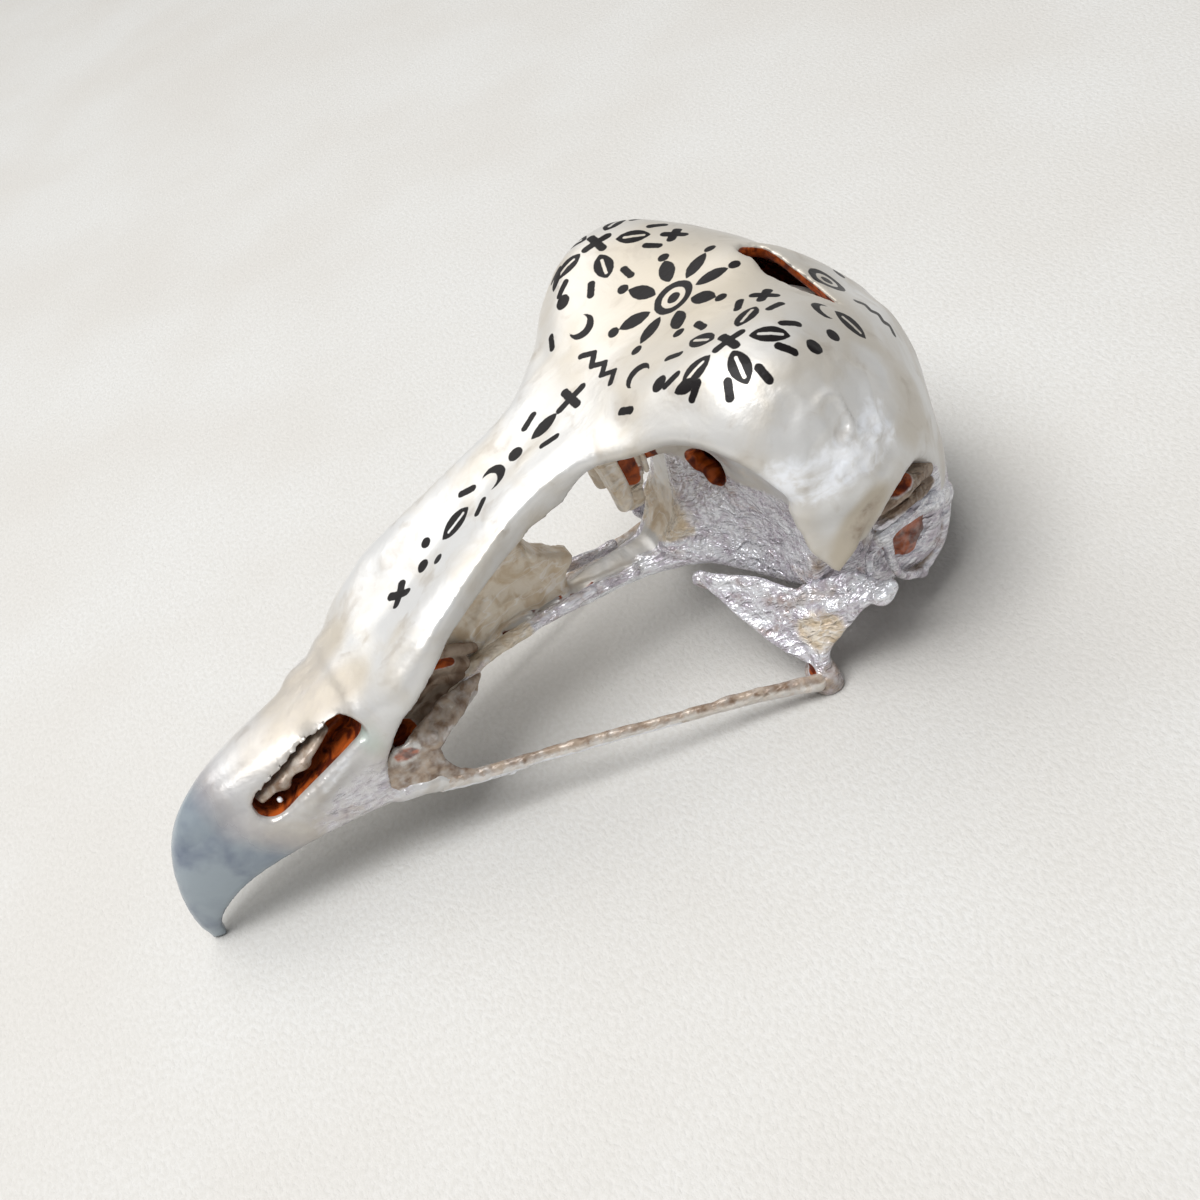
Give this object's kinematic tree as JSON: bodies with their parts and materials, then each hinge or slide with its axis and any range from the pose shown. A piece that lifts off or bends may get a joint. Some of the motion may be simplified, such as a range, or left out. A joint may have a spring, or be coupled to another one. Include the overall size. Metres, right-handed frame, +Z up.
{
  "type": "bird skull",
  "caption": "Owl skull without the lower jaw, pearl painted, with hooked bill, open orbits, cheek bars and a domed hollow braincase.",
  "frame": {"origin": "middle of the footprint box, on the surface the skull rests on", "axes": "+X towards the tip of the bill, +Y to the skull's left, +Z up"},
  "size_m": [0.0632, 0.0332, 0.0263],
  "materials": {
    "horn": "satin blue-grey horn under pearl paint",
    "pearl": "satin pearl paint over bone with fine black ink ornament",
    "silver": "crinkled silvery pearl paint over rough bone",
    "thin": "thin beige bone with pearl paint on its edge"
  },
  "bodies": {
    "root": {"bill_tip": "horn", "bill": "pearl", "forehead": "pearl", "braincase": "pearl", "cheek_bar_left": "thin", "palatine_left": "silver", "pterygoid_left": "silver", "quadrate_left": "silver", "cheek_bar_right": "thin", "palatine_right": "silver", "pterygoid_right": "silver", "quadrate_right": "silver"}
  },
  "joints": []
}
